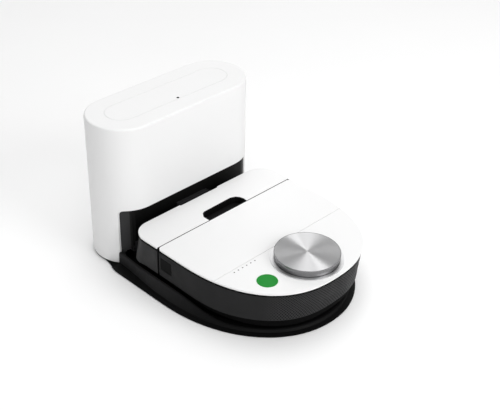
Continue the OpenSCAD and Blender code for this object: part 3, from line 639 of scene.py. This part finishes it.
def make_dust_bag():
    """Fleece bag blown up by a cloth simulation, with its card collar."""
    low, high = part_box("dust_bag")
    floor_z = low[2] + BAG_LIFT * MM
    centre = Vector(((low[0] + high[0]) / 2, (low[1] + high[1]) / 2, (floor_z + high[2]) / 2))
    half = Vector(((high[0] - low[0]) / 2, (high[1] - low[1]) / 2, (high[2] - floor_z) / 2))
    bpy.ops.mesh.primitive_cube_add(size=2, location=centre)
    bag = bpy.context.object
    bag.name = "bag_body"
    bag.scale = half * BAG_SHRINK
    bpy.ops.object.transform_apply(location=False, scale=True)
    remesh = bag.modifiers.new("voxels", "REMESH")
    remesh.mode = "VOXEL"
    remesh.voxel_size = BAG_VOXEL * MM
    relax = bag.modifiers.new("relax", "SMOOTH")
    relax.iterations = 6
    cloth = bag.modifiers.new("cloth", "CLOTH")
    cloth.settings.use_pressure = True
    cloth.settings.uniform_pressure_force = BAG_PRESSURE
    cloth.settings.effector_weights.gravity = 0
    cloth.point_cache.frame_start = 1
    cloth.point_cache.frame_end = BAG_FRAMES
    graph = bpy.context.evaluated_depsgraph_get()
    rest = [v.co.copy() for v in bag.evaluated_get(graph).to_mesh().vertices]
    scene = bpy.context.scene
    for number in range(1, BAG_FRAMES + 1):
        scene.frame_set(number)
    graph = bpy.context.evaluated_depsgraph_get()
    blown = bpy.data.meshes.new_from_object(bag.evaluated_get(graph))
    limit = BAG_SWELL * MM
    for vertex, start in zip(blown.vertices, rest):
        step = vertex.co - start
        if step.length > limit:
            vertex.co = start + step * (limit / step.length)
    bag.modifiers.clear()
    bag.data = blown
    scene.frame_set(1)
    finer = bag.modifiers.new("finer", "SUBSURF")
    finer.levels = 1
    finer.render_levels = 1
    add_piece(bag, "dock", "bag_fleece", None, ("dust_bag",))
    collar = turned_ring("bag_collar", COLLAR_PROFILE, 72)
    collar.location = Vector((0, COLLAR_Y * MM, low[2] + 0.1 * MM))
    add_piece(collar, "dock", "filter_paper", None, (), 0.2)


# Corner brush: its axis, bristles in a tuft, and the angles that a tuft takes at its root and at its tips
BRUSH_PLACE = (134.0, 66.0)
BRISTLES = 16
ROOT_ANGLE = 16.0
TIP_ANGLE = 44.0
ROOT_RADIUS = 9.0
TIP_RADIUS = 25.5
ROOT_Z = 15.2
TIP_Z = 12.0
ROOT_WIDTH = 0.35
TIP_WIDTH = 0.12


def make_bristles():
    """Three tufts of fanned bristles on the corner brush."""
    x0, y0 = BRUSH_PLACE
    points, faces = [], []
    for arm in (30, 150, 270):
        for k in range(BRISTLES):
            t = k / (BRISTLES - 1) - 0.5
            a = math.radians(arm + ROOT_ANGLE * t)
            b = math.radians(arm + TIP_ANGLE * t)
            root_z = ROOT_Z + 0.6 * math.cos(2.4 * k)
            root = (x0 + ROOT_RADIUS * math.cos(a), y0 + ROOT_RADIUS * math.sin(a), root_z)
            reach = TIP_RADIUS - 2.5 * abs(t) - 0.8 * (k % 3)
            tip = (x0 + reach * math.cos(b), y0 + reach * math.sin(b), TIP_Z + 0.5 * (k % 4))
            side = (-math.sin(a), math.cos(a))
            base = len(points)
            for (x, y, z), w in ((root, ROOT_WIDTH), (tip, TIP_WIDTH)):
                points += [(x + side[0] * w, y + side[1] * w, z), (x, y, z + w),
                           (x - side[0] * w, y - side[1] * w, z), (x, y, z - w)]
            faces += [(base + i, base + (i + 1) % 4, base + 4 + (i + 1) % 4, base + 4 + i) for i in range(4)]
            faces.append(tuple(base + 4 + i for i in range(4)))
    tufts = mesh_object("corner_bristles", points, faces)
    add_piece(tufts, "corner_brush", "brush_fins")


make_band()
make_bristles()
make_bumper()
make_turret()
make_seam_strip()
make_dust_bag()


# ---------------------------------------------------------------- camera, floor and light

VIEW_AZIMUTH = -45.7
VIEW_ELEVATION = 33.2
VIEW_ROLL = 1.2
VIEW_TARGET = Vector((47.8, 9.1, 101.3)) * MM
VIEW_DISTANCE = 1.930
LENS = 73.54


def make_camera():
    """Camera on the left of the robot's round end, looking down at the tower."""
    data = bpy.data.cameras.new("camera")
    cam = bpy.data.objects.new("camera", data)
    bpy.context.collection.objects.link(cam)
    a = math.radians(VIEW_AZIMUTH)
    e = math.radians(VIEW_ELEVATION)
    back = Vector((math.sin(a) * math.cos(e), -math.cos(a) * math.cos(e), math.sin(e)))
    right = Vector((math.cos(a), math.sin(a), 0))
    up = back.cross(right)
    turn = Matrix((right, up, back)).transposed().to_4x4()
    cam.matrix_world = (Matrix.Translation(VIEW_TARGET + back * VIEW_DISTANCE) @ turn
                        @ Matrix.Rotation(math.radians(VIEW_ROLL), 4, "Z"))
    data.sensor_width = 36
    data.lens = LENS
    data.clip_start = 0.01
    data.clip_end = 50
    bpy.context.scene.camera = cam


def area_light(name, place, aim, size, power):
    """Square soft light at a place, turned to a point."""
    data = bpy.data.lights.new(name, "AREA")
    data.energy = power
    data.size = size
    lamp = bpy.data.objects.new(name, data)
    bpy.context.collection.objects.link(lamp)
    lamp.location = place
    lamp.rotation_euler = (Vector(aim) - Vector(place)).to_track_quat("-Z", "Y").to_euler()


FLOOR_SIZE = 60
# Brightness of the world from the camera's left to its right
WORLD_STOPS = [(0.0, 0.03), (0.12, 0.04), (0.42, 1.0), (0.58, 1.0), (0.84, 0.08), (1.0, 0.06)]
WORLD_STRENGTH = 1.25


def make_floor():
    """Plain pale floor."""
    bpy.ops.mesh.primitive_plane_add(size=FLOOR_SIZE)
    floor = bpy.context.object
    floor.name = "studio_floor"
    mat, shader, coords = new_material("studio_floor")
    tint = two_tone(mat, noise(mat, coords, 2.0), (0.96, 0.96, 0.96), (0.975, 0.975, 0.975))
    mat.node_tree.links.new(tint, shader.inputs["Base Color"])
    shader.inputs["Roughness"].default_value = 0.9
    paint(floor, mat)


def make_world():
    """World with a bright strip in the middle and dark sides, which the camera sees as one pale tone."""
    world = bpy.data.worlds.new("studio")
    world.use_nodes = True
    tree = world.node_tree
    coords = tree.nodes.new("ShaderNodeTexCoord")
    side = tree.nodes.new("ShaderNodeVectorMath")
    side.operation = "DOT_PRODUCT"
    a = math.radians(VIEW_AZIMUTH)
    side.inputs[1].default_value = (math.cos(a), math.sin(a), 0)
    tree.links.new(coords.outputs["Generated"], side.inputs[0])
    place = tree.nodes.new("ShaderNodeMapRange")
    place.inputs["From Min"].default_value = -1
    tree.links.new(side.outputs["Value"], place.inputs["Value"])
    ramp = tree.nodes.new("ShaderNodeValToRGB")
    tree.links.new(place.outputs["Result"], ramp.inputs["Fac"])
    elements = ramp.color_ramp.elements
    while len(elements) < len(WORLD_STOPS):
        elements.new(0.5)
    for element, (position, grey) in zip(elements, WORLD_STOPS):
        element.position = position
        element.color = (grey, grey, grey, 1)
    background = tree.nodes["Background"]
    background.inputs["Strength"].default_value = WORLD_STRENGTH
    tree.links.new(ramp.outputs["Color"], background.inputs["Color"])
    backdrop = tree.nodes.new("ShaderNodeBackground")
    backdrop.inputs["Color"].default_value = (0.8, 0.8, 0.8, 1)
    path = tree.nodes.new("ShaderNodeLightPath")
    choose = tree.nodes.new("ShaderNodeMixShader")
    tree.links.new(path.outputs["Is Camera Ray"], choose.inputs["Fac"])
    tree.links.new(background.outputs["Background"], choose.inputs[1])
    tree.links.new(backdrop.outputs["Background"], choose.inputs[2])
    tree.links.new(choose.outputs["Shader"], tree.nodes["World Output"].inputs["Surface"])
    bpy.context.scene.world = world
    bpy.context.scene.view_settings.view_transform = "Standard"


make_camera()
make_floor()
make_world()
area_light("overhead", (0.2, -0.2, 2.6), (0, 0, 0), 2.6, 21)
area_light("front", (0.5, -2.4, 1.4), (0, 0.1, 0.15), 1.6, 33)
